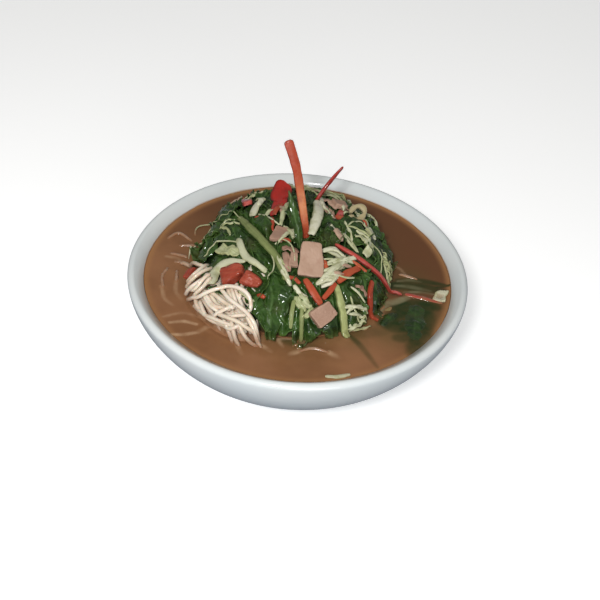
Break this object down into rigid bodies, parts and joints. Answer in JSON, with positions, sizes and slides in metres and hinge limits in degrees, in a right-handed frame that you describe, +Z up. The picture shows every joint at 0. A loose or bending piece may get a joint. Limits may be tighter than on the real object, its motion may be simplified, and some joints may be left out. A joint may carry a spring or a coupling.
{
  "type": "bowl of thukpa noodle soup",
  "caption": "Deep round white bowl filled with brown broth, noodles and a mound of leafy greens, carrot, tomato and meat, standing on its foot ring.",
  "frame": {"origin": "centre of the foot ring's underside, on the bowl's axis", "axes": "+Z up along the bowl's axis; the front of the dish, with the noodles at its left, faces -Y"},
  "size_m": [0.23, 0.23, 0.168],
  "materials": {
    "glazed_white": "polished",
    "broth": "polished",
    "noodle": "satin",
    "leaf_green": "satin",
    "cabbage_pale": "satin",
    "stem_green": "satin",
    "carrot_red": "satin",
    "pepper_red": "gloss",
    "tomato_red": "gloss",
    "cooked_meat": "matte"
  },
  "bodies": {
    "root": {"bowl": "glazed_white", "broth": "broth", "noodle_heap": "noodle", "greens_heap": "leaf_green", "cabbage_arc": "cabbage_pale", "cabbage_bit_edge": "cabbage_pale", "cabbage_bit_side": "cabbage_pale", "cabbage_chunk": "cabbage_pale", "cabbage_piece_front": "cabbage_pale", "cabbage_ring": "cabbage_pale", "cabbage_shred_low": "cabbage_pale", "cabbage_shred_middle": "cabbage_pale", "cabbage_shred_side": "cabbage_pale", "cabbage_shred_top": "cabbage_pale", "cabbage_stick_white": "cabbage_pale", "cabbage_strip_beige": "cabbage_pale", "cabbage_strip_bent": "cabbage_pale", "cabbage_strip_long": "cabbage_pale", "carrot_stick_branch": "carrot_red", "carrot_stick_front": "carrot_red", "carrot_stick_side": "carrot_red", "carrot_stick_tall": "carrot_red", "carrot_strip_side": "carrot_red", "leaf_floating": "leaf_green", "leaf_small_floating": "leaf_green", "meat_bit_back": "cooked_meat", "meat_bit_front": "cooked_meat", "meat_cube": "cooked_meat", "meat_slab": "cooked_meat", "meat_slice": "cooked_meat", "noodle_loose_1": "noodle", "noodle_loose_2": "noodle", "noodle_loose_3": "noodle", "noodle_loose_4": "noodle", "noodle_loose_5": "noodle", "noodle_loose_6": "noodle", "noodle_loose_7": "noodle", "noodle_loose_8": "noodle", "pepper_bit_back": "pepper_red", "pepper_curl_back": "pepper_red", "pepper_piece_back": "pepper_red", "pepper_strip_back": "pepper_red", "pepper_strip_floating": "pepper_red", "pepper_strip_long": "pepper_red", "stalk_floating": "stem_green", "stem_front": "stem_green", "stem_strip_olive": "stem_green", "stem_yellow_left": "stem_green", "stem_yellow_right": "stem_green", "stem_zigzag_lower": "cabbage_pale", "stem_zigzag_upper": "cabbage_pale", "tomato_chunk_left": "tomato_red", "tomato_chunk_right": "tomato_red", "tomato_piece_edge": "tomato_red"}
  },
  "joints": []
}
